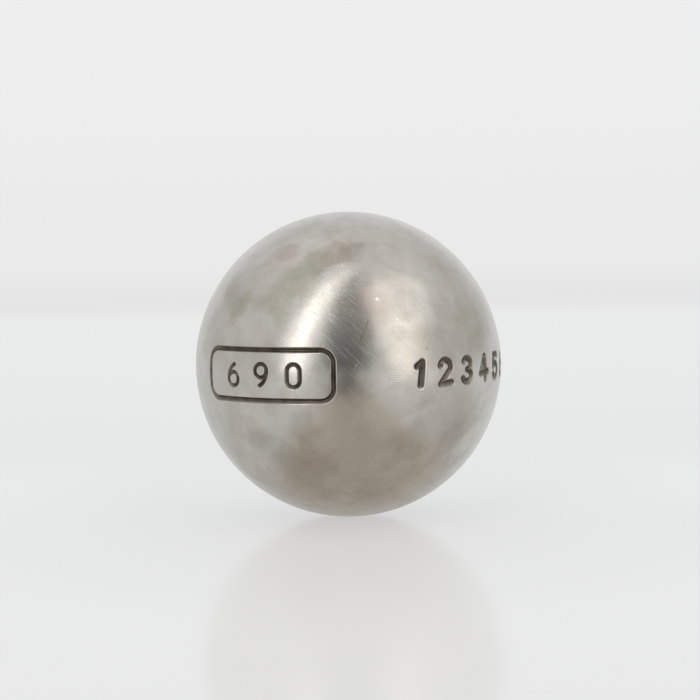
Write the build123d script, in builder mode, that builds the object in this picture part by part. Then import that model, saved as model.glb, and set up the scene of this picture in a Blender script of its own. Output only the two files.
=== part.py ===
from build123d import *
from math import asin, atan2, cos, radians, sin, sqrt, tan
import os

# Petanque boule: two forged steel half shells, butt-welded round the rim into one hollow
# ball and turned true, with a plain frame milled into the front for the weight mark.
# The origin is the centre of the ball and +Z is up. The weld lies in the plane y = 0, so
# the marked half faces -Y and the plain half +Y.

# Driving dimensions, in millimetres and degrees
ball_diameter = 74.0
wall = 6.0

# Weld preparation on each rim, and the bead that fills it
root_gap = 1.0
root_face = 1.5
bevel_angle = 30.0
root_bead_width = 4.2
root_bead_height = 0.8

# Frame groove, measured along the surface at the middle of the groove
frame_length = 35.4
frame_height = 11.6
frame_corner = 3.0
frame_azimuth = -45.0
groove_width = 1.55
groove_depth = 0.6

ball_radius = ball_diameter / 2
hollow_radius = ball_radius - wall

# Rim section in the XY plane, where x is the distance from the weld axis Y
half_gap = root_gap / 2
rim_inner = sqrt(hollow_radius**2 - half_gap**2)
bevel_start = rim_inner + root_face
bevel_height = half_gap + (ball_radius - bevel_start) * tan(radians(bevel_angle))

# The plain half: a quarter ring less the weld preparation, turned about Y
with BuildPart() as plain_half_shell:
    with BuildSketch():
        Circle(ball_radius)
        Circle(hollow_radius, mode=Mode.SUBTRACT)
        Rectangle(ball_radius, ball_radius, align=Align.MIN, mode=Mode.INTERSECT)
        with BuildLine():
            Polyline(
                (0, 0),
                (0, half_gap),
                (bevel_start, half_gap),
                (ball_radius, bevel_height),
                (ball_radius, 0),
                close=True,
            )
        make_face(mode=Mode.SUBTRACT)
    revolve(axis=Axis.Y)
plain_half_shell.part.label = "plain_half_shell"

# The weld: the metal that fills the preparation, flush with the ball outside, and the
# root bead that stands into the hollow and laps both inner rims
with BuildPart() as weld_seam:
    with BuildSketch():
        with BuildLine():
            Polyline(
                (rim_inner, -half_gap),
                (bevel_start, -half_gap),
                (ball_radius, -bevel_height),
                (ball_radius, bevel_height),
                (bevel_start, half_gap),
                (rim_inner, half_gap),
                close=True,
            )
        make_face()
        Circle(ball_radius, mode=Mode.INTERSECT)
        with BuildSketch(mode=Mode.PRIVATE) as root_bead:
            with Locations((hollow_radius, 0)):
                Ellipse(root_bead_height, root_bead_width / 2)
            Circle(hollow_radius, mode=Mode.INTERSECT)
        add(root_bead.sketch)
    revolve(axis=Axis.Y)
weld_seam.part.label = "weld_seam"

# The frame groove is the path of a ball-nosed cutter of this radius, which runs on a
# sphere that leaves the groove its width and depth at the surface
cutter_radius = ((groove_width / 2) ** 2 + groove_depth**2) / (2 * groove_depth)
path_radius = ball_radius - groove_depth + cutter_radius
half_length = frame_length / 2 / ball_radius
half_height = frame_height / 2 / ball_radius
corner = frame_corner / ball_radius

# Each corner is a small circle of the sphere, tangent to the frame's long edge, which
# follows a parallel, and to its short edge, which follows a meridian
corner_latitude = half_height - corner
corner_step = asin(sin(corner) / cos(corner_latitude))
corner_longitude = half_length - corner_step
short_edge_latitude = atan2(sin(corner_latitude), cos(corner_latitude) * cos(corner_step))


def on_path(longitude, latitude):
    turned = longitude + radians(frame_azimuth)
    return path_radius * Vector(
        cos(latitude) * sin(turned), -cos(latitude) * cos(turned), sin(latitude)
    )


def mid_corner(side, level):
    # Halfway round the corner, along the bisector of its two tangent directions
    centre = on_path(side * corner_longitude, level * corner_latitude).normalized()
    ends = [
        on_path(side * corner_longitude, level * half_height),
        on_path(side * half_length, level * short_edge_latitude),
    ]
    outward = sum((end.normalized() - centre * cos(corner) for end in ends), Vector())
    return path_radius * (centre * cos(corner) + outward.normalized() * sin(corner))


# The marked half: the plain half turned round, with the frame groove cut into it
with BuildPart() as marked_half_shell:
    mirror(plain_half_shell.part, about=Plane.XZ)
    with BuildLine() as frame_path:
        for side, level in ((1, 1), (1, -1), (-1, -1), (-1, 1)):
            long_end = on_path(side * corner_longitude, level * half_height)
            short_end = on_path(side * half_length, level * short_edge_latitude)
            ThreePointArc(long_end, mid_corner(side, level), short_end)
        for side in (1, -1):
            ThreePointArc(
                on_path(side * half_length, short_edge_latitude),
                on_path(side * half_length, 0),
                on_path(side * half_length, -short_edge_latitude),
            )
        for level in (1, -1):
            ThreePointArc(
                on_path(-corner_longitude, level * half_height),
                on_path(0, level * half_height),
                on_path(corner_longitude, level * half_height),
            )
    groove_wire = frame_path.wire()
    with BuildSketch(Plane(origin=groove_wire @ 0, z_dir=groove_wire % 0)):
        Circle(cutter_radius)
    sweep(path=groove_wire, mode=Mode.SUBTRACT)
marked_half_shell.part.label = "marked_half_shell"

os.makedirs("parts", exist_ok=True)
for piece in (marked_half_shell, plain_half_shell, weld_seam):
    export_step(piece.part, f"parts/{piece.part.label}.step")
    print(piece.part.label, round(piece.part.volume, 1), "mm3")
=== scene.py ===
import math

import bmesh
import bpy
from mathutils import Matrix, Vector, kdtree, noise


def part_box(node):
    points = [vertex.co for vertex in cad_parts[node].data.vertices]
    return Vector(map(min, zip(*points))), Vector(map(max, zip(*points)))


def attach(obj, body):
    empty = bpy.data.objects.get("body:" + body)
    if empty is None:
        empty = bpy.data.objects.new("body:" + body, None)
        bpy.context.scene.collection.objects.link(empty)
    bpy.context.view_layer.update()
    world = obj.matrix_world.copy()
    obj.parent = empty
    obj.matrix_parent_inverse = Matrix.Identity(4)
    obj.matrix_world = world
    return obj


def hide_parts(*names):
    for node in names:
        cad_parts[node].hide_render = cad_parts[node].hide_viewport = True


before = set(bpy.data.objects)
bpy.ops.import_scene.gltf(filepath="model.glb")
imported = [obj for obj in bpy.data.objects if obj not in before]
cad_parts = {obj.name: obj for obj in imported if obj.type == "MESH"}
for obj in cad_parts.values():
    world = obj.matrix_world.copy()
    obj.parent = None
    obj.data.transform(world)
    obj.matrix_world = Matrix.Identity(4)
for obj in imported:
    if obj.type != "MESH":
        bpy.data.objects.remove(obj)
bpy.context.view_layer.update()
mm = 0.001
ballRadius = -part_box("marked_half_shell")[0].y
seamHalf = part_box("weld_seam")[1].y  # the weld's half width where it meets the ball's surface
sameSpot = 0.001 * mm  # points closer than this are one
onSurface = ballRadius - sameSpot  # points further out than this lie on the ball's surface
facesOut = 0.9  # cosine above which a face looks straight out of the ball
smooth = {"interpolation_type": "SMOOTHSTEP"}  # for Map Range nodes that make a soft edge
print("frame loaded, ball radius", round(ballRadius / mm, 3), "mm")


def linear(hexColour):
    channels = [int(hexColour[i:i + 2], 16) / 255 for i in (1, 3, 5)]
    return [c / 12.92 if c <= 0.04045 else ((c + 0.055) / 1.055) ** 2.4 for c in channels] + [1]


# adds a node: settings go to its sockets or its own properties, links to its sockets, where a node
# stands for its first output
def addNode(tree, kind, settings=(), links=()):
    node = tree.nodes.new(kind)
    for key, value in dict(settings).items():
        if isinstance(key, int) or key in node.inputs:
            node.inputs[key].default_value = value
        else:
            setattr(node, key, value)
    for key, source in dict(links).items():
        socket = source.outputs[0] if isinstance(source, bpy.types.Node) else source
        tree.links.new(socket, node.inputs[key])
    return node


def newMaterial(name):
    material = bpy.data.materials.new(name)
    material.use_nodes = True
    material.node_tree.nodes.clear()
    return material, material.node_tree


def finishPiece(bm, name, node, material):
    mesh = bpy.data.meshes.new(name)
    bm.to_mesh(mesh)
    bm.free()
    piece = bpy.data.objects.new(name, mesh)
    bpy.context.scene.collection.objects.link(piece)
    mesh.materials.append(material)
    # the round surface takes its normals from the ball, whatever the faces under it are
    normals = [corner.vector.copy() for corner in mesh.corner_normals]
    for face in mesh.polygons:
        for corner in face.loop_indices:
            point = mesh.vertices[mesh.loops[corner].vertex_index].co
            onBallFace = abs(point.length - ballRadius) < sameSpot
            if onBallFace and face.normal.dot(point) > facesOut * ballRadius:
                normals[corner] = point.normalized()
    mesh.normals_split_custom_set(normals)
    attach(piece, "root")
    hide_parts(node)
    triangles = sum(len(face.vertices) - 2 for face in mesh.polygons)
    print("made", name, "with", triangles, "triangles")


# a direction from the ball's centre: degrees to the right of -Y, and degrees up
def direction(azimuth, elevation):
    a, e = math.radians(azimuth), math.radians(elevation)
    return Vector((math.sin(a) * math.cos(e), -math.cos(a) * math.cos(e), math.sin(e)))


# satin stainless steel: turned on a lathe, then brushed by hand, so it mirrors softly, with scratches
# and a thin uneven tarnish where hands held it, pinkish and greenish by turns; real scratches and
# turning marks are too fine to show, so both are drawn several times as coarse
steel = {
    "roughness": 0.235, "dullRoughness": 0.268,
    "noiseSpan": (0.35, 0.65),  # where most of a noise's values lie
    "clouds": [  # tarnish all over: size, seed, edges of its mask, share and tint
        {"size": 15 * mm, "seed": 1.3, "edges": (0.47, 0.66), "share": 0.45, "tint": "#bdbbae"},
        {"size": 10 * mm, "seed": 7.9, "edges": (0.50, 0.68), "share": 0.35, "tint": "#c6b8ae"},
        {"size": 24 * mm, "seed": 4.2, "edges": (0.45, 0.70), "share": 0.40, "tint": "#b4ada1"},
        {"size": 4.5 * mm, "seed": 11.7, "edges": (0.48, 0.62), "share": 0.22, "tint": "#b5aea2"},
    ],
    "dullCloud": 2,  # the cloud whose noise also dulls the steel
    "patches": [  # where hands held it: azimuth and elevation, edges of its mask from there, share and tint
        {"at": (-42, 26), "edges": (5.5 * mm, 2.5 * mm), "share": 0.30, "tint": "#aeab95"},
        {"at": (-35, 34.5), "edges": (6.5 * mm, 2.5 * mm), "share": 0.35, "tint": "#a9a596"},
        {"at": (-60, 25), "edges": (4.0 * mm, 1.5 * mm), "share": 0.45, "tint": "#a9a68d"},
        {"at": (-72, 30), "edges": (4.0 * mm, 1.5 * mm), "share": 0.40, "tint": "#aea598"},
        {"at": (-61, 20), "edges": (2.5 * mm, 1.0 * mm), "share": 0.40, "tint": "#bda79c"},
        {"at": (-34, 39), "edges": (4.5 * mm, 2.0 * mm), "share": 0.40, "tint": "#a9a696"},
        {"at": (-26, 44), "edges": (5.0 * mm, 2.0 * mm), "share": 0.50, "tint": "#a7a293"},
        {"at": (-20, 48), "edges": (4.5 * mm, 2.0 * mm), "share": 0.40, "tint": "#ab9f92"},
        {"at": (-25, 39), "edges": (3.2 * mm, 1.0 * mm), "share": 0.48, "tint": "#a39d90"},
        {"at": (-14, 46.5), "edges": (3.5 * mm, 1.5 * mm), "share": 0.45, "tint": "#a29b8f"},
        {"at": (-8, 49), "edges": (4.0 * mm, 1.5 * mm), "share": 0.50, "tint": "#a29b8f"},
        {"at": (-48, 48), "edges": (4.5 * mm, 2.0 * mm), "share": 0.45, "tint": "#b3a49b"},
        {"at": (-3, 26), "edges": (6.5 * mm, 2.5 * mm), "share": 0.45, "tint": "#ccbab1"},
        {"at": (42, 16), "edges": (8.0 * mm, 3.0 * mm), "share": 0.36, "tint": "#aeab92"},
        {"at": (35, -16), "edges": (8.5 * mm, 3.0 * mm), "share": 0.32, "tint": "#b6aba0"},
        {"at": (33, -24), "edges": (6.5 * mm, 2.0 * mm), "share": 0.60, "tint": "#a9a294"},
        {"at": (39, -37), "edges": (5.0 * mm, 2.0 * mm), "share": 0.25, "tint": "#b0aaa0"},
        {"at": (4, -52), "edges": (7.5 * mm, 3.0 * mm), "share": 0.25, "tint": "#aaa294"},
        {"at": (-38, -27), "edges": (9.0 * mm, 4.0 * mm), "share": 0.15, "tint": "#adac9c"},
        {"at": (-32, -36), "edges": (9.0 * mm, 3.0 * mm), "share": 0.14, "tint": "#a59d8e"},
        {"at": (-51, -24), "edges": (5.0 * mm, 2.0 * mm), "share": 0.40, "tint": "#a4a090"},
        {"at": (-29, -18), "edges": (5.5 * mm, 2.0 * mm), "share": 0.30, "tint": "#aaa294"},
        {"at": (2.4, -13), "edges": (8.0 * mm, 3.5 * mm), "share": 0.50, "tint": "#e4e0da"},  # a lighter patch
        {"at": (-49, 17), "edges": (6.0 * mm, 2.5 * mm), "share": 0.45, "tint": "#e4e1da"},  # a lighter patch
    ],
    "stir": 7 * mm, "stirSize": 5 * mm,  # how far the patches' edges wander, and over what length
    "waves": [  # soft waviness of the hand-finished surface: size and depth
        {"size": 8 * mm, "depth": 0.15 * mm},
        {"size": 2.2 * mm, "depth": 0.008 * mm},
    ],
    "scratches": [  # parallel rows: turn, pitch of the rows, a line's width and length, its breaks, roughness
        {"turn": (0, -46, 0), "pitch": 0.9 * mm, "width": 0.28 * mm, "length": 2.0 * mm,
         "run": (0.46, 0.60), "rough": 0.13},
        {"turn": (0, -40, 10), "pitch": 1.3 * mm, "width": 0.30 * mm, "length": 2.6 * mm,
         "run": (0.50, 0.62), "rough": 0.15},
        {"turn": (0, -53, -8), "pitch": 1.9 * mm, "width": 0.32 * mm, "length": 3.4 * mm,
         "run": (0.53, 0.64), "rough": 0.17},
        {"turn": (25, 30, -20), "pitch": 3.6 * mm, "width": 0.32 * mm, "length": 3.0 * mm,
         "run": (0.56, 0.68), "rough": 0.13},
    ],
    "scratchTint": "#f2efea", "scratchShare": 0.16,
    "scratchedAt": (-12, 14), "scratchedEdges": (24 * mm, 11 * mm),  # they lie thickest there
    "elsewhere": 0.3,  # strength away from there
    "faintest": 0.2,  # strength of the weakest line
    "inRow": (0.2, 0.8),  # where across its row a line may lie
    "rowShift": 37.7,  # steps along the noise from one row to the next, so that rows break in other places
    "flat": (0.60, 0.85),  # lines fade out where they would lie flat on the ball, by the cosine there
    "ripplePitch": 0.52 * mm, "rippleRough": 0.07,
    "ripples": [  # turning marks left in patches: middle, centre they curve about, edges of the mask, depth
        {"at": (13.5, 24.5), "about": (14.8, 15.2), "edges": (5.0 * mm, 2.5 * mm), "depth": 0.036 * mm},
        {"at": (6.5, 15.5), "about": (14.8, 15.2), "edges": (3.0 * mm, 1.5 * mm), "depth": 0.012 * mm},
        {"at": (4.0, -1.9), "about": (5, -30), "edges": (4.0 * mm, 1.5 * mm), "depth": 0.012 * mm},
        {"at": (12.0, -12.3), "about": (50, -25), "edges": (3.5 * mm, 1.5 * mm), "depth": 0.012 * mm},
        {"at": (-54, 33), "about": (-30, 50), "edges": (4.5 * mm, 1.5 * mm), "depth": 0.015 * mm},
    ],
    "ringScale": math.pi / 10,  # gives the Wave Texture one ring for each pitch
    "cutRoughness": 0.38, "cutDark": "#5a524a", "cutLight": "#7c7369", "cutGrain": 3.0 * mm,
    # bare metal, pale enough that it also paints the glint on nicks and specks
    "bare": "#f3f1ed",
}


def satinSteel(name, base):
    material, tree = newMaterial(name)
    place = addNode(tree, "ShaderNodeTexCoord").outputs["Object"]
    shader = addNode(tree, "ShaderNodeBsdfPrincipled", {"Metallic": 1.0})
    addNode(tree, "ShaderNodeOutputMaterial", {}, {"Surface": shader})

    # tarnish: clouds all over, and patches whose edges wander
    layers = []
    for cloud in steel["clouds"]:
        spread = addNode(tree, "ShaderNodeTexNoise",
                         {"noise_dimensions": "4D", "W": cloud["seed"], "Scale": 1 / cloud["size"],
                          "Detail": 4, "Roughness": 0.55, "Distortion": 0.7}, {"Vector": place})
        layers.append((cloud, spread.outputs["Fac"]))
    stir = addNode(tree, "ShaderNodeTexNoise", {"Scale": 1 / steel["stirSize"], "Detail": 3},
                   {"Vector": place})
    stir = addNode(tree, "ShaderNodeVectorMath", {"operation": "SUBTRACT", 1: (0.5, 0.5, 0.5)},
                   {0: stir.outputs["Color"]})  # so that it goes both ways from nought
    stirred = addNode(tree, "ShaderNodeVectorMath",
                      {"operation": "MULTIPLY_ADD", 1: [steel["stir"]] * 3}, {0: stir, 2: place})
    for patch in steel["patches"]:
        away = addNode(tree, "ShaderNodeVectorMath",
                       {"operation": "DISTANCE", 1: direction(*patch["at"]) * ballRadius}, {0: stirred})
        layers.append((patch, away.outputs["Value"]))
    colour = None
    for layer, amount in layers:
        mask = addNode(tree, "ShaderNodeMapRange",
                       {**smooth, 1: layer["edges"][0], 2: layer["edges"][1], 4: layer["share"]}, {0: amount})
        links = {0: mask, 6: colour} if colour else {0: mask}
        colour = addNode(tree, "ShaderNodeMix",
                         {"data_type": "RGBA", 6: linear(base), 7: linear(layer["tint"])}, links).outputs[2]

    # waviness, as heights in metres
    heights = []
    for number, wave in enumerate(steel["waves"]):
        soft = addNode(tree, "ShaderNodeTexNoise",
                       {"noise_dimensions": "4D", "W": number + 0.5, "Scale": 1 / wave["size"], "Detail": 1},
                       {"Vector": place})
        heights.append(addNode(tree, "ShaderNodeMath", {"operation": "MULTIPLY", 1: wave["depth"]},
                               {0: soft.outputs["Fac"]}))
    span = steel["noiseSpan"]
    rough = addNode(tree, "ShaderNodeMapRange",
                    {1: span[0], 2: span[1], 3: steel["roughness"], 4: steel["dullRoughness"]},
                    {0: layers[steel["dullCloud"]][1]})

    # scratches, rougher and fresher than the steel round them
    away = addNode(tree, "ShaderNodeVectorMath",
                   {"operation": "DISTANCE", 1: direction(*steel["scratchedAt"]) * ballRadius}, {0: place})
    thick = addNode(tree, "ShaderNodeMapRange",
                    {**smooth, 1: steel["scratchedEdges"][0], 2: steel["scratchedEdges"][1],
                     3: steel["elsewhere"]}, {0: away.outputs["Value"]})
    for line in steel["scratches"]:
        turned = addNode(tree, "ShaderNodeMapping",
                         {"vector_type": "TEXTURE", "Rotation": [math.radians(t) for t in line["turn"]],
                          "Scale": (line["pitch"], line["length"], 1)}, {"Vector": place})
        step, reach, _ = addNode(tree, "ShaderNodeSeparateXYZ", {}, {0: turned}).outputs
        level = addNode(tree, "ShaderNodeMath", {"operation": "ABSOLUTE"}, {0: step})
        flat = [cosine * ballRadius / line["pitch"] for cosine in steel["flat"]]
        shown = addNode(tree, "ShaderNodeMapRange", {**smooth, 1: flat[1], 2: flat[0]}, {0: level})
        shown = addNode(tree, "ShaderNodeMath", {"operation": "MULTIPLY"}, {0: shown, 1: thick})
        # one line in each row, at its own place across the row and broken up along it
        row = addNode(tree, "ShaderNodeMath", {"operation": "FLOOR"}, {0: step})
        chance = addNode(tree, "ShaderNodeTexWhiteNoise", {"noise_dimensions": "1D"}, {"W": row})
        chance = addNode(tree, "ShaderNodeSeparateXYZ", {}, {0: chance.outputs["Color"]})
        middle = addNode(tree, "ShaderNodeMapRange", {3: steel["inRow"][0], 4: steel["inRow"][1]},
                         {0: chance.outputs["X"]})
        strength = addNode(tree, "ShaderNodeMapRange", {3: steel["faintest"]}, {0: chance.outputs["Y"]})
        aside = addNode(tree, "ShaderNodeMath", {"operation": "FRACT"}, {0: step})
        aside = addNode(tree, "ShaderNodeMath", {"operation": "SUBTRACT"}, {0: aside, 1: middle})
        aside = addNode(tree, "ShaderNodeMath", {"operation": "ABSOLUTE"}, {0: aside})
        thin = addNode(tree, "ShaderNodeMapRange", {1: line["width"] / line["pitch"] / 2, 2: 0},
                       {0: aside, 4: strength})
        run = addNode(tree, "ShaderNodeMath", {"operation": "MULTIPLY_ADD", 1: steel["rowShift"]},
                      {0: row, 2: reach})
        run = addNode(tree, "ShaderNodeTexNoise", {"noise_dimensions": "1D", "Scale": 1.0, "Detail": 1.0},
                      {"W": run})
        run = addNode(tree, "ShaderNodeMapRange", {1: line["run"][0], 2: line["run"][1]},
                      {0: run.outputs["Fac"]})
        run = addNode(tree, "ShaderNodeMath", {"operation": "MULTIPLY"}, {0: run, 1: shown})
        mark = addNode(tree, "ShaderNodeMath", {"operation": "MULTIPLY"}, {0: thin, 1: run})
        rough = addNode(tree, "ShaderNodeMath", {"operation": "MULTIPLY_ADD", 1: line["rough"]},
                        {0: mark, 2: rough})
        fresh = addNode(tree, "ShaderNodeMath", {"operation": "MULTIPLY", 1: steel["scratchShare"]},
                        {0: mark})
        colour = addNode(tree, "ShaderNodeMix", {"data_type": "RGBA", 7: linear(steel["scratchTint"])},
                         {0: fresh, 6: colour}).outputs[2]

    # turning marks, as heights and a little roughness
    for ripple in steel["ripples"]:
        rings = addNode(tree, "ShaderNodeMapping",
                        {"vector_type": "TEXTURE", "Location": direction(*ripple["about"]) * ballRadius,
                         "Scale": [steel["ripplePitch"]] * 3}, {"Vector": place})
        rings = addNode(tree, "ShaderNodeTexWave",
                        {"wave_type": "RINGS", "rings_direction": "SPHERICAL", "Scale": steel["ringScale"],
                         "Distortion": 1.6, "Detail Scale": 0.12}, {"Vector": rings})
        away = addNode(tree, "ShaderNodeVectorMath",
                       {"operation": "DISTANCE", 1: direction(*ripple["at"]) * ballRadius}, {0: stirred})
        mask = addNode(tree, "ShaderNodeMapRange",
                       {**smooth, 1: ripple["edges"][0], 2: ripple["edges"][1]}, {0: away.outputs["Value"]})
        rings = addNode(tree, "ShaderNodeMath", {"operation": "MULTIPLY"}, {0: rings.outputs["Fac"], 1: mask})
        heights.append(addNode(tree, "ShaderNodeMath", {"operation": "MULTIPLY", 1: ripple["depth"]},
                               {0: rings}))
        rough = addNode(tree, "ShaderNodeMath", {"operation": "MULTIPLY_ADD", 1: steel["rippleRough"]},
                        {0: rings, 2: rough})
    height = heights[0]
    for more in heights[1:]:
        height = addNode(tree, "ShaderNodeMath", {"operation": "ADD"}, {0: height, 1: more})
    bump = addNode(tree, "ShaderNodeBump", {"Strength": 1.0, "Distance": 1.0}, {"Height": height})
    tree.links.new(bump.outputs[0], shader.inputs["Normal"])

    # nicks are bare metal, painted pale as a painted glint too; marks hold uneven dark scale and stay as
    # rough as the cutter left them
    bare = addNode(tree, "ShaderNodeAttribute", {"attribute_name": "bare"}).outputs["Fac"]
    colour = addNode(tree, "ShaderNodeMix", {"data_type": "RGBA", 7: linear(steel["bare"])},
                     {0: bare, 6: colour}).outputs[2]
    cut = addNode(tree, "ShaderNodeAttribute", {"attribute_name": "cut"}).outputs["Fac"]
    grain = addNode(tree, "ShaderNodeTexNoise", {"Scale": 1 / steel["cutGrain"], "Detail": 3},
                    {"Vector": place})
    grain = addNode(tree, "ShaderNodeMapRange", {1: span[0], 2: span[1]}, {0: grain.outputs["Fac"]})
    scale = addNode(tree, "ShaderNodeMix",
                    {"data_type": "RGBA", 6: linear(steel["cutDark"]), 7: linear(steel["cutLight"])},
                    {0: grain})
    colour = addNode(tree, "ShaderNodeMix", {"data_type": "RGBA"},
                     {0: cut, 6: colour, 7: scale.outputs[2]})
    rough = addNode(tree, "ShaderNodeMix", {"data_type": "FLOAT", 3: steel["cutRoughness"]},
                    {0: cut, 2: rough})
    tree.links.new(colour.outputs[2], shader.inputs["Base Color"])
    tree.links.new(rough.outputs[0], shader.inputs["Roughness"])
    print("made material", name, "with", len(tree.nodes), "nodes")
    return material


shellSteel = satinSteel("satinStainlessSteel", "#d6d2cb")
weldSteel = satinSteel("groundWeldSteel", "#d2cec7")

# half shell, as the solids have it: outer arc, bevelled rim, root face and hollow
shell = {
    "wall": 6.0 * mm,
    "rootGap": 1.0 * mm,
    "rootFace": 1.5 * mm,
    "turns": 144,
    "outerRings": 36,
    "hollowRings": 18,
    "rimLoop": 0.15 * mm,  # narrow last ring, so the shading stays true up to the rim
    "sharpAngle": 20,  # edges that bend more than this are sharp
}
hollowRadius = ballRadius - shell["wall"]
halfGap = shell["rootGap"] / 2
rimInner = math.sqrt(hollowRadius ** 2 - halfGap ** 2)
bevelStart = rimInner + shell["rootFace"]


def spinArc(bm, vert, angle, steps):
    done = bmesh.ops.spin(bm, geom=[vert], cent=(0, 0, 0), axis=(0, 0, 1), angle=angle, steps=steps)
    return next(item for item in done["geom_last"] if isinstance(item, bmesh.types.BMVert))


def extrudeTo(bm, vert, x, y):
    vert = bmesh.ops.extrude_vert_indiv(bm, verts=[vert])["verts"][0]
    vert.co = (x, y, 0)
    return vert


# turns the drawn section once round the weld axis
def spinAbout(bm):
    bmesh.ops.spin(bm, geom=bm.verts[:] + bm.edges[:], cent=(0, 0, 0), axis=(0, 1, 0),
                   angle=2 * math.pi, steps=shell["turns"], use_merge=True)
    bmesh.ops.remove_doubles(bm, verts=bm.verts, dist=sameSpot)
    bmesh.ops.recalc_face_normals(bm, faces=bm.faces)
    for face in bm.faces:
        face.smooth = True
    for edge in bm.edges:
        edge.smooth = edge.calc_face_angle(0) < math.radians(shell["sharpAngle"])


# a half shell with its pole on -Y
def spinHalfShell():
    bm = bmesh.new()
    rimAngle = math.acos(seamHalf / ballRadius)
    rimStep = shell["rimLoop"] / ballRadius
    vert = bm.verts.new((0, -ballRadius, 0))
    vert = spinArc(bm, vert, rimAngle - rimStep, shell["outerRings"])
    vert = spinArc(bm, vert, rimStep, 1)
    vert = extrudeTo(bm, vert, bevelStart, -halfGap)
    vert = extrudeTo(bm, vert, rimInner, -halfGap)
    spinArc(bm, vert, -math.acos(halfGap / hollowRadius), shell["hollowRings"])
    spinAbout(bm)
    return bm


# weld: a flush band outside, the filled bevels and a root bead inside
weld = {"bandRings": 6, "beadWidth": 4.2 * mm, "beadHeight": 0.8 * mm, "beadRings": 8}


def spinWeld():
    bm = bmesh.new()
    bandAngle = math.asin(seamHalf / ballRadius)
    loopAngle = shell["rimLoop"] / ballRadius
    vert = bm.verts.new((ballRadius * math.cos(bandAngle), -seamHalf, 0))
    vert = spinArc(bm, vert, loopAngle, 1)
    vert = spinArc(bm, vert, 2 * (bandAngle - loopAngle), weld["bandRings"])
    vert = spinArc(bm, vert, loopAngle, 1)
    vert = extrudeTo(bm, vert, bevelStart, halfGap)
    vert = extrudeTo(bm, vert, rimInner, halfGap)
    beadSide = weld["beadWidth"] / 2
    for step in range(weld["beadRings"] + 1):
        turn = math.pi * step / weld["beadRings"]
        y = beadSide * math.cos(turn)
        lift = weld["beadHeight"] * math.sin(turn)
        x = math.sqrt(hollowRadius ** 2 - y ** 2) - lift
        vert = extrudeTo(bm, vert, x, y)
    vert = extrudeTo(bm, vert, rimInner, -halfGap)
    vert = extrudeTo(bm, vert, bevelStart, -halfGap)
    bm.verts.ensure_lookup_table()
    bm.edges.new((vert, bm.verts[0]))
    spinAbout(bm)
    return bm


finishPiece(spinWeld(), "weldSeam", "weld_seam", weldSteel)

# marks: a milled frame with plain numbers and a row of plain numbers struck by hand round the belt;
# azimuth is in degrees from the middle of the marked half, lengths along the surface; a mark's shoulder
# is its rounded edge, which stays bright, and its edges wander; dark and bare are shares of scale and
# of bare metal in it
frameGroove = {"azimuth": -45.0, "length": 35.4 * mm, "height": 11.6 * mm, "corner": 3.0 * mm,
               "width": 1.55 * mm, "depth": 0.6 * mm, "shoulder": 0.2 * mm, "wander": 0.02 * mm, "dark": 1.0}
frameNumbers = {"azimuth": -45.0, "text": "690", "leans": (0, 0, 0), "pitch": 8.4 * mm, "size": 5.2 * mm,
                "width": 1.25 * mm, "depth": 0.5 * mm, "shoulder": 0.2 * mm, "wander": 0.02 * mm,
                "dark": 1.0}
rowNumbers = {"azimuth": 40.9, "text": "123456", "leans": (-5, 3, -2, 4, -3, 2), "pitch": 7.06 * mm,
              "size": 5.3 * mm, "width": 2.05 * mm, "depth": 0.6 * mm, "shoulder": 0.30 * mm,
              "wander": 0.08 * mm, "dark": 1.0, "lip": 0.05 * mm}
# nicks and specks knocked bare, whose pale colour also paints the glint they catch, at places given as
# azimuth and elevation
nicks = {"places": [(-0.6, 27.1), (118, 25), (-150, 40), (-170, -50)], "width": 1.2 * mm,
         "depth": 0.02 * mm, "shoulder": 0.2 * mm, "wander": 0.3 * mm, "bare": 1.0}
specks = {"places": [(6.5, 19.4), (70, -32), (160, -18), (-115, -8)], "width": 0.7 * mm,
          "depth": 0.02 * mm, "shoulder": 0.2 * mm, "wander": 0.2 * mm, "bare": 1.0}
# dull pits, a dull score, and faint light and dark rubs left by other balls, along lines given as
# azimuth, elevation, azimuth, elevation
pits = {"lines": [(16.8, 8.7, 16.9, 8.5), (47.5, -15.0, 47.5, -15.8)], "width": 1.0 * mm,
        "depth": 0.01 * mm, "shoulder": 0.4 * mm, "wander": 0.15 * mm, "dark": 0.45}
scores = {"lines": [(-5.2, 19.0, -6.0, 16.9), (-6.0, 16.9, -8.4, 11.7)], "width": 1.1 * mm,
          "depth": 0.01 * mm, "shoulder": 0.5 * mm, "wander": 0.3 * mm, "dark": 0.38}
lightRubs = {"lines": [(7.3, -17.2, 15.8, -13.6), (15.8, -13.6, 20.7, -12.1)], "width": 2.6 * mm,
             "depth": 0.002 * mm, "shoulder": 1.2 * mm, "wander": 0.7 * mm, "bare": 0.18,
             "finest": 0.35 * mm}
darkRubs = {"lines": [(10.1, -13.6, 14.3, -10.9), (14.3, -10.9, 19.5, -8.7), (-4.9, -7.6, 4.7, -3.7)],
            "width": 2.6 * mm, "depth": 0.002 * mm, "shoulder": 1.2 * mm, "wander": 0.7 * mm, "dark": 0.11,
            "finest": 0.35 * mm}
finest = 0.1 * mm  # edge length in a mark's walls, where it has none of its own
splitAbove = 1.3  # edges longer than so many times that are split
splitLevels = 6  # how often at most
pointSpacing = finest / 3  # between the points along a stroke
lineStep = 0.05  # the same along a line, in degrees
bottom = 0.1 * mm  # half the width of a mark's rounded bottom
paintedLightSide = Vector((0.5, 0, -0.8))  # walls on this side of a mark get less dark scale, as painted light falling on them
paintedLightShare = 0.22
paintedLightSpan = 0.5  # share of the half width over which the painted light grows to its full share
lipWidth = 0.5 * mm  # of the low lip that striking pushes up on the same side
wanderSize = 1.5 * mm  # length over which the marks' edges wander

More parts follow.
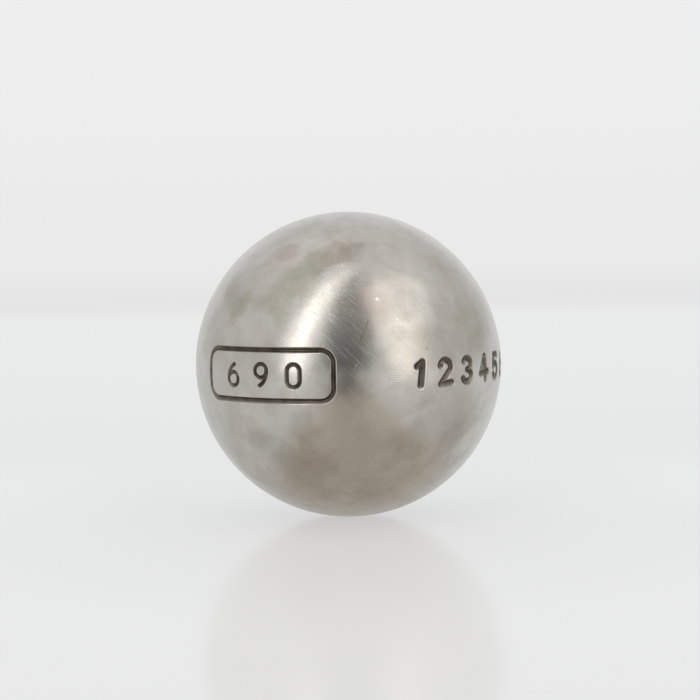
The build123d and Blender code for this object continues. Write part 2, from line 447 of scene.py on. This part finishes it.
# plain single-stroke numerals in a cell one unit high, centred on x = 0:
# a line is (x, y, x, y), an arc (centre x, y, radius x, y, from, to) in degrees
numerals = {
    "0": [(0, 0.7, 0.3, 0.3, 0, 180), (-0.3, 0.7, -0.3, 0.3), (0, 0.3, 0.3, 0.3, 180, 360),
          (0.3, 0.3, 0.3, 0.7)],
    "1": [(0.08, 0, 0.08, 1), (0.08, 1, -0.16, 0.78)],
    "2": [(0, 0.72, 0.28, 0.28, 165, -35), (0.23, 0.56, -0.29, 0), (-0.29, 0, 0.3, 0)],
    "3": [(-0.02, 0.755, 0.26, 0.245, 150, -90), (-0.02, 0.255, 0.29, 0.255, 90, -150)],
    "4": [(0.12, 1, -0.32, 0.3), (-0.32, 0.3, 0.32, 0.3), (0.12, 1, 0.12, 0)],
    "5": [(0.26, 1, -0.22, 1), (-0.22, 1, -0.27, 0.56), (-0.01, 0.31, 0.3, 0.31, 150, -145)],
    "6": [(0, 0.3, 0.3, 0.3, 0, 360), (0.3, 0.3, 0.6, 0.7, 180, 112)],
    "9": [(0, 0.7, 0.3, 0.3, 0, 360), (-0.3, 0.7, 0.6, 0.7, 0, -68)],
}


def strokePoints(stroke, spacing):
    if len(stroke) == 4:
        x0, y0, x1, y1 = stroke
        steps = max(2, math.ceil(math.hypot(x1 - x0, y1 - y0) / spacing))
        return [(x0 + (x1 - x0) * i / steps, y0 + (y1 - y0) * i / steps) for i in range(steps + 1)]
    cx, cy, rx, ry, start, stop = stroke
    turn = math.radians(stop - start)
    steps = max(2, math.ceil(abs(turn) * max(rx, ry) / spacing))
    turns = [math.radians(start) + turn * i / steps for i in range(steps + 1)]
    return [(cx + rx * math.cos(t), cy + ry * math.sin(t)) for t in turns]


# the rounded frame's outline about its own centre, as points close together
def framePoints(mark):
    x, y, r = mark["length"] / 2, mark["height"] / 2, mark["corner"]
    strokes = [(r - x, y, x - r, y), (r - x, -y, x - r, -y), (x, r - y, x, y - r), (-x, r - y, -x, y - r),
               (x - r, y - r, r, r, 0, 90), (r - x, y - r, r, r, 90, 180),
               (r - x, r - y, r, r, 180, 270), (x - r, r - y, r, r, 270, 360)]
    return [point for stroke in strokes for point in strokePoints(stroke, pointSpacing)]


# the same for a row of numbers, each leaning about its own middle
def numberPoints(mark):
    points = []
    size = mark["size"]
    for place, numeral in enumerate(mark["text"]):
        shift = (place - (len(mark["text"]) - 1) / 2) * mark["pitch"]
        lean = math.radians(mark["leans"][place])
        for stroke in numerals[numeral]:
            for x, y in strokePoints(stroke, pointSpacing / size):
                x, y = x * size, (y - 0.5) * size
                points.append((x * math.cos(lean) - y * math.sin(lean) + shift,
                               x * math.sin(lean) + y * math.cos(lean)))
    return points


# a mark with the tree that finds the nearest of its points on the ball, given as azimuth and elevation
def cutAlong(mark, places):
    tree = kdtree.KDTree(len(places))
    for index, place in enumerate(places):
        tree.insert(direction(*place) * ballRadius, index)
    tree.balance()
    return mark, tree


nickCuts = [cutAlong(mark, mark["places"]) for mark in (nicks, specks)]
for mark in (pits, scores, lightRubs, darkRubs):
    places = [place for line in mark["lines"] for place in strokePoints(line, lineStep)]
    nickCuts.append(cutAlong(mark, places))
markCuts = []
for mark, points in ((frameGroove, framePoints(frameGroove)), (frameNumbers, numberPoints(frameNumbers)),
                     (rowNumbers, numberPoints(rowNumbers))):
    places = [(mark["azimuth"] + math.degrees(x / ballRadius), math.degrees(y / ballRadius))
              for x, y in points]
    markCuts.append(cutAlong(mark, places))


# depth, darkness and bareness of the deepest mark at a point: a round bottom, straight walls and a
# rounded edge; beside a struck mark the depth is negative, for its lip
def cutAt(point, cuts):
    depth, dark, bare, lip = 0, 0, 0, 0
    for mark, tree in cuts:
        half, shoulder = mark["width"] / 2, mark["shoulder"]
        nearest, _, away = tree.find(point)
        side = max((point - nearest).dot(paintedLightSide) / half, 0)
        away += mark["wander"] * noise.noise(point / wanderSize)
        inside = half - away
        if inside <= 0:
            across = min(-inside / lipWidth, 1)
            lip = max(lip, mark.get("lip", 0) * min(side, 1) * (1 - math.cos(2 * math.pi * across)) / 2)
            continue
        steepest = mark["depth"] / (half - shoulder / 2 - bottom / 2)
        if away < bottom:
            here = mark["depth"] - steepest * away ** 2 / (2 * bottom)
        elif inside > shoulder:
            here = mark["depth"] - steepest * (away - bottom / 2)
        else:
            here = steepest * inside ** 2 / (2 * shoulder)
        if here > depth:
            depth = here
            full = min(inside / shoulder, 1) ** 2
            # walls on the lit side hold less of the dark: painted light
            dark = mark.get("dark", 0) * full * (1 - paintedLightShare * min(side / paintedLightSpan, 1))
            bare = mark.get("bare", 0) * full
    return depth or -lip, dark, bare


# splits the surface finely round the marks, then sinks it
def engrave(bm, cuts):
    for level in range(splitLevels):
        tooLong = []
        for edge in bm.edges:
            length = edge.calc_length()
            if min(vert.co.length for vert in edge.verts) < onSurface:
                continue
            middle = (edge.verts[0].co + edge.verts[1].co) / 2
            for mark, tree in cuts:
                margin = mark["wander"] + length + (lipWidth if "lip" in mark else 0)
                coarse = length > mark.get("finest", finest) * splitAbove
                if coarse and tree.find(middle)[2] < mark["width"] / 2 + margin:
                    tooLong.append(edge)
                    break
        if not tooLong:
            break
        done = bmesh.ops.subdivide_edges(bm, edges=tooLong, cuts=1, use_grid_fill=True,
                                         quad_corner_type="INNER_VERT")
        for item in done["geom_inner"] + done["geom_split"]:
            if isinstance(item, bmesh.types.BMVert):
                item.co = item.co.normalized() * ballRadius
        print("marks, level", level, "split", len(tooLong), "edges")
    bm.verts.layers.float.new("cut")
    bm.verts.layers.float.new("bare")
    cut, bare = bm.verts.layers.float["cut"], bm.verts.layers.float["bare"]
    for vert in bm.verts:
        if vert.co.length > onSurface:
            depth, vert[cut], vert[bare] = cutAt(vert.co, cuts)
            vert.co = vert.co.normalized() * (ballRadius - depth)
    for face in bm.faces:
        face.smooth = True


markedHalf = spinHalfShell()
engrave(markedHalf, markCuts + nickCuts)
finishPiece(markedHalf, "markedHalfShell", "marked_half_shell", shellSteel)

plainHalf = spinHalfShell()
bmesh.ops.scale(plainHalf, verts=plainHalf.verts, vec=(1, -1, 1))
bmesh.ops.recalc_face_normals(plainHalf, faces=plainHalf.faces)
engrave(plainHalf, nickCuts)
finishPiece(plainHalf, "plainHalfShell", "plain_half_shell", shellSteel)

# camera, at the photograph's angle: the ball's centre and radius are pixels of its 700 x 700 frame
cameraView = {"azimuth": -12.3, "elevation": 4.1, "roll": 1.0, "distance": 12 * ballRadius,
              "ballCentre": (348.4, 364.0), "ballPixels": 152.5, "imagePixels": 700}


def makeCamera(view):
    data = bpy.data.cameras.new("camera")
    camera = bpy.data.objects.new("camera", data)
    bpy.context.scene.collection.objects.link(camera)
    slant = math.sqrt(view["distance"] ** 2 - ballRadius ** 2)
    focalPixels = view["ballPixels"] * slant / ballRadius
    data.lens = focalPixels / view["imagePixels"] * data.sensor_width
    back = direction(view["azimuth"], view["elevation"])
    roll = Matrix.Rotation(-math.radians(view["roll"]), 3, "Z").to_quaternion()
    turn = (-back).to_track_quat("-Z", "Y") @ roll
    half = view["imagePixels"] / 2
    offX = (view["ballCentre"][0] - half) / focalPixels
    offY = (half - view["ballCentre"][1]) / focalPixels
    # turned so that the ball's centre falls on its pixel
    turn = turn @ Vector((offX, offY, -1)).rotation_difference(Vector((0, 0, -1)))
    camera.rotation_mode = "QUATERNION"
    camera.rotation_quaternion = turn
    camera.location = back * view["distance"]
    bpy.context.scene.camera = camera
    print("camera set,", round(data.lens, 1), "mm lens")


makeCamera(cameraView)
forwards = direction(cameraView["azimuth"], 0)  # level, from the ball towards the camera
rightwards = direction(cameraView["azimuth"] + 90, 0)  # level, to the right as the camera sees it

# floor: a pale acrylic sheet that glows a little, so the ball's shadow on it stays faint; lengths
# are in metres from the ball's centre, ahead towards the camera, behind away from it, beside to the right
stage = {
    "floorSize": 3.0, "floorColour": "#e1e1e0", "floorRoughness": 0.15, "floorGloss": 0.4,
    # glow that the camera sees: its tone, its share, and a shadow painted into it round the ball
    "glow": "#fdfdfd", "glowBehind": "#f2f2f1", "glowEdges": (-0.02, -0.15), "glowSeen": 0.48,
    "shade": 0.94, "shadeEdges": (0.07, 0.145),
    "farColour": "#e5e5e5", "farEdges": (0.85, 1.35),  # the floor meets the backdrop there
    # what the ball mirrors of it, all painted on: its tone beside, painted shade in front and painted light
    # behind, a painted highlight on the right, and a painted shadow round where the ball touches
    "glowReflected": 0.8, "underSides": "#dadbdc", "underFront": "#bdb6ab", "underBehind": "#e4e7ea",
    "frontEdges": (-0.01, 0.03), "frontMiddle": 0.004, "frontSide": 0.045, "behindEdges": (-0.002, -0.03),
    "paintedSheenAt": (0.27, 0.30), "paintedSheenEdges": (0.26, 0.10), "paintedSheen": 2.0,
    "paintedContactShadow": 0.95, "paintedContactShadowEdges": (0.045, 0.072),
    # a painted dark band on the sheet in front, out of the picture, which only the metal mirrors
    "darkGlow": 0.05, "darkEdges": (0.112, 0.185), "darkMiddle": -0.007, "darkSide": 0.048,
}


def makeFloor():
    bm = bmesh.new()
    bmesh.ops.create_grid(bm, x_segments=1, y_segments=1, size=stage["floorSize"] / 2,
                          matrix=Matrix.Translation((0, 0, -ballRadius)))
    mesh = bpy.data.meshes.new("floor")
    bm.to_mesh(mesh)
    bm.free()
    floor = bpy.data.objects.new("floor", mesh)
    bpy.context.scene.collection.objects.link(floor)
    acrylic, tree = newMaterial("paleAcrylic")
    sheet = addNode(tree, "ShaderNodeBsdfPrincipled",
                    {"Base Color": linear(stage["floorColour"]), "Roughness": stage["floorRoughness"],
                     "Specular IOR Level": stage["floorGloss"]})
    rays = addNode(tree, "ShaderNodeLightPath")
    place = addNode(tree, "ShaderNodeTexCoord").outputs["Object"]
    away = addNode(tree, "ShaderNodeVectorMath", {"operation": "LENGTH"}, {0: place}).outputs["Value"]
    ahead, beside = [addNode(tree, "ShaderNodeVectorMath", {"operation": "DOT_PRODUCT", 1: axis},
                             {0: place}).outputs["Value"] for axis in (forwards, rightwards)]
    # soft masks, each from its pair of edges
    far, rear, paintedContactShadow, front, behind, dark = [
        addNode(tree, "ShaderNodeMapRange", {**smooth, 1: stage[edges][0], 2: stage[edges][1], 3: start},
                {0: amount})
        for edges, amount, start in (
            ("farEdges", away, 0), ("glowEdges", ahead, 0), ("paintedContactShadowEdges", away, stage["paintedContactShadow"]),
            ("frontEdges", ahead, 0), ("behindEdges", ahead, 0), ("darkEdges", ahead, 0))]
    # soft bands that run towards the camera, each about its own middle
    bands = []
    for middle, side in (("frontMiddle", "frontSide"), ("darkMiddle", "darkSide")):
        aside = addNode(tree, "ShaderNodeMath", {"operation": "SUBTRACT", 1: stage[middle]}, {0: beside})
        aside = addNode(tree, "ShaderNodeMath", {"operation": "ABSOLUTE"}, {0: aside})
        bands.append(addNode(tree, "ShaderNodeMapRange", {**smooth, 1: stage[side], 2: stage[side] / 2},
                             {0: aside}))
    frontBand, darkBand = bands

    # what the camera sees
    colour = addNode(tree, "ShaderNodeMix",
                     {"data_type": "RGBA", 6: linear(stage["glow"]), 7: linear(stage["glowBehind"])},
                     {0: rear})
    colour = addNode(tree, "ShaderNodeMix", {"data_type": "RGBA", 7: linear(stage["farColour"])},
                     {0: far, 6: colour.outputs[2]})
    # a shadow painted into the glow round the ball
    shade = addNode(tree, "ShaderNodeMapRange",
                    {**smooth, 1: stage["shadeEdges"][0], 2: stage["shadeEdges"][1], 3: stage["shade"]},
                    {0: away})
    seenGlow = addNode(tree, "ShaderNodeEmission", {}, {"Color": colour.outputs[2], "Strength": shade})
    seen = addNode(tree, "ShaderNodeMapRange", {3: stage["glowSeen"], 4: 1.0}, {0: far})
    seen = addNode(tree, "ShaderNodeMath", {"operation": "MULTIPLY"},
                   {0: rays.outputs["Is Camera Ray"], 1: seen})
    mixed = addNode(tree, "ShaderNodeMixShader", {}, {0: seen, 1: sheet, 2: seenGlow})

    # the metal mirrors painted tones on the sheet: dimmer towards the camera, a painted highlight and a
    # painted shadow, and a painted dark band further out of the picture
    # a painted highlight on the sheet to the right, which only the metal mirrors
    paintedSheenPoint = rightwards * stage["paintedSheenAt"][0]
    paintedSheenPoint += forwards * stage["paintedSheenAt"][1] + Vector((0, 0, -ballRadius))
    paintedSheen = addNode(tree, "ShaderNodeVectorMath", {"operation": "DISTANCE", 1: paintedSheenPoint}, {0: place})
    paintedSheen = addNode(tree, "ShaderNodeMapRange",
                    {**smooth, 1: stage["paintedSheenEdges"][0], 2: stage["paintedSheenEdges"][1], 3: 1.0,
                     4: stage["paintedSheen"]}, {0: paintedSheen.outputs["Value"]})
    # dimmed by a painted shadow round where the ball touches
    paintedSheen = addNode(tree, "ShaderNodeMath", {"operation": "MULTIPLY"}, {0: paintedSheen, 1: paintedContactShadow})
    # painted shade in front of the ball and painted light behind it, which only the metal mirrors
    front = addNode(tree, "ShaderNodeMath", {"operation": "MULTIPLY"}, {0: front, 1: frontBand})
    under = addNode(tree, "ShaderNodeMix", {"data_type": "RGBA", 6: linear(stage["underSides"]),
                                            7: linear(stage["underFront"])}, {0: front})
    under = addNode(tree, "ShaderNodeMix", {"data_type": "RGBA", 7: linear(stage["underBehind"])},
                    {0: behind, 6: under.outputs[2]})
    underGlow = addNode(tree, "ShaderNodeEmission", {}, {"Color": under.outputs[2], "Strength": paintedSheen})
    mirrored = addNode(tree, "ShaderNodeMath", {"operation": "MULTIPLY", 1: stage["glowReflected"]},
                       {0: rays.outputs["Is Glossy Ray"]})
    mixed = addNode(tree, "ShaderNodeMixShader", {}, {0: mirrored, 1: mixed, 2: underGlow})
    # a painted dark band in front, seen only in the metal
    dark = addNode(tree, "ShaderNodeMath", {"operation": "MULTIPLY"}, {0: dark, 1: darkBand})
    dark = addNode(tree, "ShaderNodeMath", {"operation": "MULTIPLY"},
                   {0: dark, 1: rays.outputs["Is Glossy Ray"]})
    black = addNode(tree, "ShaderNodeEmission", {"Strength": stage["darkGlow"]})
    mixed = addNode(tree, "ShaderNodeMixShader", {}, {0: dark, 1: mixed, 2: black})
    addNode(tree, "ShaderNodeOutputMaterial", {}, {"Surface": mixed})
    mesh.materials.append(acrylic)
    print("floor laid,", stage["floorSize"], "m wide")


makeFloor()

# soft boxes: a tall one that leans on the left and runs out overhead, and broad ones on the right; their
# lower and upper ends are azimuth to the right of the camera's own, elevation and distance from the ball,
# and soft edges are shares of the half width or half length
boxes = [
    {"low": (-42.2, -3, 0.60), "high": (45.4, 80, 2.20), "width": 0.17, "taper": 0.9,
     "softLeft": 0.7, "softRight": 0.1, "softLow": 0.0, "softHigh": 0.75,
     "radiance": 1.87, "colour": "#fffdfa"},
    {"low": (49, -5, 0.90), "high": (42.4, 35, 1.00), "width": 0.64, "taper": 0.0,
     "softLeft": 0.3, "softRight": 0.85, "softLow": 0.0, "softHigh": 0.25,
     "radiance": 0.82, "colour": "#fffcf7"},
    {"low": (47, 27, 0.95), "high": (63, 63, 0.95), "width": 0.84, "taper": 0.0,
     "softLeft": 0.35, "softRight": 0.2, "softLow": 0.2, "softHigh": 0.2,
     "radiance": 0.45, "colour": "#fffaf4"},
    {"low": (43, 0, 0.85), "high": (41, 12, 0.85), "width": 0.16, "taper": 0.0,
     "softLeft": 0.8, "softRight": 0.8, "softLow": 0.0, "softHigh": 0.8,
     "radiance": 0.9, "colour": "#fffaf3"},
]
hardEdge = 0.01  # what an edge gets that has no softness


# a flat box of light somewhere off in the room, as the colour it adds in each direction
def addBox(tree, towards, box):
    ends = []
    for azimuth, elevation, distance in (box["low"], box["high"]):
        ends.append(direction(cameraView["azimuth"] + azimuth, elevation) * distance)
    length = (ends[1] - ends[0]).length
    along = (ends[1] - ends[0]).normalized()
    middle = (ends[0] + ends[1]) / 2
    foot = middle - along * middle.dot(along)
    back = foot.normalized()
    ahead, across, upward = [addNode(tree, "ShaderNodeVectorMath", {"operation": "DOT_PRODUCT", 1: axis},
                                     {0: towards}).outputs["Value"]
                             for axis in (back, along.cross(back), along)]
    across = addNode(tree, "ShaderNodeMath", {"operation": "DIVIDE"}, {0: across, 1: ahead})
    upward = addNode(tree, "ShaderNodeMath", {"operation": "DIVIDE"}, {0: upward, 1: ahead})
    upward = addNode(tree, "ShaderNodeMath",
                     {"operation": "MULTIPLY_ADD", 1: 2 * foot.length / length,
                      2: -2 * middle.dot(along) / length}, {0: upward})
    half = box["width"] / 2 / foot.length
    half = addNode(tree, "ShaderNodeMapRange", {1: -1, 2: 1, 3: half, 4: half * (1 - box["taper"])},
                   {0: upward})
    across = addNode(tree, "ShaderNodeMath", {"operation": "DIVIDE"}, {0: across, 1: half})
    mask = addNode(tree, "ShaderNodeMath", {"operation": "GREATER_THAN", 1: 0}, {0: ahead})
    for side, start, soft in ((across, -1, box["softLeft"]), (across, 1, -box["softRight"]),
                              (upward, -1, box["softLow"]), (upward, 1, -box["softHigh"])):
        edge = addNode(tree, "ShaderNodeMapRange",
                       {**smooth, 1: start, 2: start + (soft or -start * hardEdge)}, {0: side})
        mask = addNode(tree, "ShaderNodeMath", {"operation": "MULTIPLY"}, {0: mask, 1: edge})
    colour = [channel * box["radiance"] for channel in linear(box["colour"])[:3]]
    return addNode(tree, "ShaderNodeVectorMath", {"operation": "SCALE", 0: colour}, {"Scale": mask})


# studio: a pale room, brighter behind the ball, with a dark opening behind the camera that is wider
# overhead; edges are shares of the view towards the right, the camera or up, and openingSide is degrees
room = {
    "left": 0.64, "right": 0.62, "sideEdges": (-0.7, 0.7),
    "behind": 0.89, "behindEdges": (-0.50, -1.0), "behindTint": "#f8fafd", "tintEdges": (-0.2, -0.88),
    "top": 0.778, "topEdges": (0.4, 0.9),
    "opening": 0.065, "openingTop": 0.33,
    "openingMiddle": -1, "openingSide": (25, 11), "openingFront": (0.10, 0.38),
    "openingTopMiddle": 0.065, "openingTopSide": (0.235, 0.065),
    # the backdrop that the camera sees, from the horizon up
    "skyLow": "#e5e5e5", "skyMiddle": "#eaeaea", "skyHigh": "#eeeeee",
    "skyMiddleEdges": (-0.036, -0.015), "skyHighEdges": (-0.02, 0.12),
}


def makeRoom():
    world = bpy.data.worlds.new("studio")
    bpy.context.scene.world = world
    world.use_nodes = True
    tree = world.node_tree
    tree.nodes.clear()
    towards = addNode(tree, "ShaderNodeTexCoord").outputs["Generated"]
    right, front = [addNode(tree, "ShaderNodeVectorMath", {"operation": "DOT_PRODUCT", 1: axis},
                            {0: towards}).outputs["Value"] for axis in (rightwards, forwards)]
    height = addNode(tree, "ShaderNodeSeparateXYZ", {}, {0: towards}).outputs["Z"]

    # the dark opening
    aside = addNode(tree, "ShaderNodeMath", {"operation": "ARCTAN2"}, {0: right, 1: front})
    aside = addNode(tree, "ShaderNodeMath",
                    {"operation": "SUBTRACT", 1: math.radians(room["openingMiddle"])}, {0: aside})
    aside = addNode(tree, "ShaderNodeMath", {"operation": "ABSOLUTE"}, {0: aside})
    edges = [math.radians(side) for side in room["openingSide"]]
    inSide = addNode(tree, "ShaderNodeMapRange", {**smooth, 1: edges[0], 2: edges[1]}, {0: aside})
    above = addNode(tree, "ShaderNodeMath", {"operation": "SUBTRACT", 1: room["openingTopMiddle"]},
                    {0: right})
    above = addNode(tree, "ShaderNodeMath", {"operation": "ABSOLUTE"}, {0: above})
    above = addNode(tree, "ShaderNodeMapRange",
                    {**smooth, 1: room["openingTopSide"][0], 2: room["openingTopSide"][1]}, {0: above})
    inSide = addNode(tree, "ShaderNodeMath", {"operation": "MAXIMUM"}, {0: inSide, 1: above})
    inFront = addNode(tree, "ShaderNodeMapRange",
                      {**smooth, 1: room["openingFront"][0], 2: room["openingFront"][1]}, {0: front})
    opening = addNode(tree, "ShaderNodeMath", {"operation": "MULTIPLY"}, {0: inSide, 1: inFront})
    dark = addNode(tree, "ShaderNodeMapRange", {3: room["opening"], 4: room["openingTop"]}, {0: height})

    # the walls and the ceiling
    wall = addNode(tree, "ShaderNodeMapRange",
                   {**smooth, 1: room["sideEdges"][0], 2: room["sideEdges"][1], 3: room["left"],
                    4: room["right"]}, {0: right})
    wall = addNode(tree, "ShaderNodeMapRange",
                   {**smooth, 1: room["behindEdges"][0], 2: room["behindEdges"][1], 4: room["behind"]},
                   {0: front, 3: wall})
    wall = addNode(tree, "ShaderNodeMapRange",
                   {**smooth, 1: room["topEdges"][0], 2: room["topEdges"][1], 4: room["top"]},
                   {0: height, 3: wall})
    level = addNode(tree, "ShaderNodeMix", {"data_type": "FLOAT"}, {0: opening, 2: wall, 3: dark})
    cool = addNode(tree, "ShaderNodeMapRange",
                   {**smooth, 1: room["tintEdges"][0], 2: room["tintEdges"][1]}, {0: front})
    cool = addNode(tree, "ShaderNodeMix",
                   {"data_type": "RGBA", 6: (1, 1, 1, 1), 7: linear(room["behindTint"])}, {0: cool})
    light = addNode(tree, "ShaderNodeVectorMath", {"operation": "MULTIPLY"}, {0: level, 1: cool.outputs[2]})
    for box in boxes:
        light = addNode(tree, "ShaderNodeVectorMath", {"operation": "ADD"},
                        {0: light, 1: addBox(tree, towards, box)})
    unseen = addNode(tree, "ShaderNodeBackground", {}, {"Color": light})

    # the plain backdrop that the camera sees instead
    low, high = [addNode(tree, "ShaderNodeMapRange", {**smooth, 1: room[edges][0], 2: room[edges][1]},
                         {0: height}) for edges in ("skyMiddleEdges", "skyHighEdges")]
    sky = addNode(tree, "ShaderNodeMix",
                  {"data_type": "RGBA", 6: linear(room["skyLow"]), 7: linear(room["skyMiddle"])}, {0: low})
    sky = addNode(tree, "ShaderNodeMix", {"data_type": "RGBA", 7: linear(room["skyHigh"])},
                  {0: high, 6: sky.outputs[2]})
    seen = addNode(tree, "ShaderNodeBackground", {"Strength": 1.0}, {"Color": sky.outputs[2]})
    rays = addNode(tree, "ShaderNodeLightPath")
    mixed = addNode(tree, "ShaderNodeMixShader", {}, {0: rays.outputs["Is Camera Ray"], 1: unseen, 2: seen})
    addNode(tree, "ShaderNodeOutputWorld", {}, {"Surface": mixed})
    print("studio lit with", len(boxes), "soft boxes")


makeRoom()
bpy.context.scene.view_settings.view_transform = "Standard"
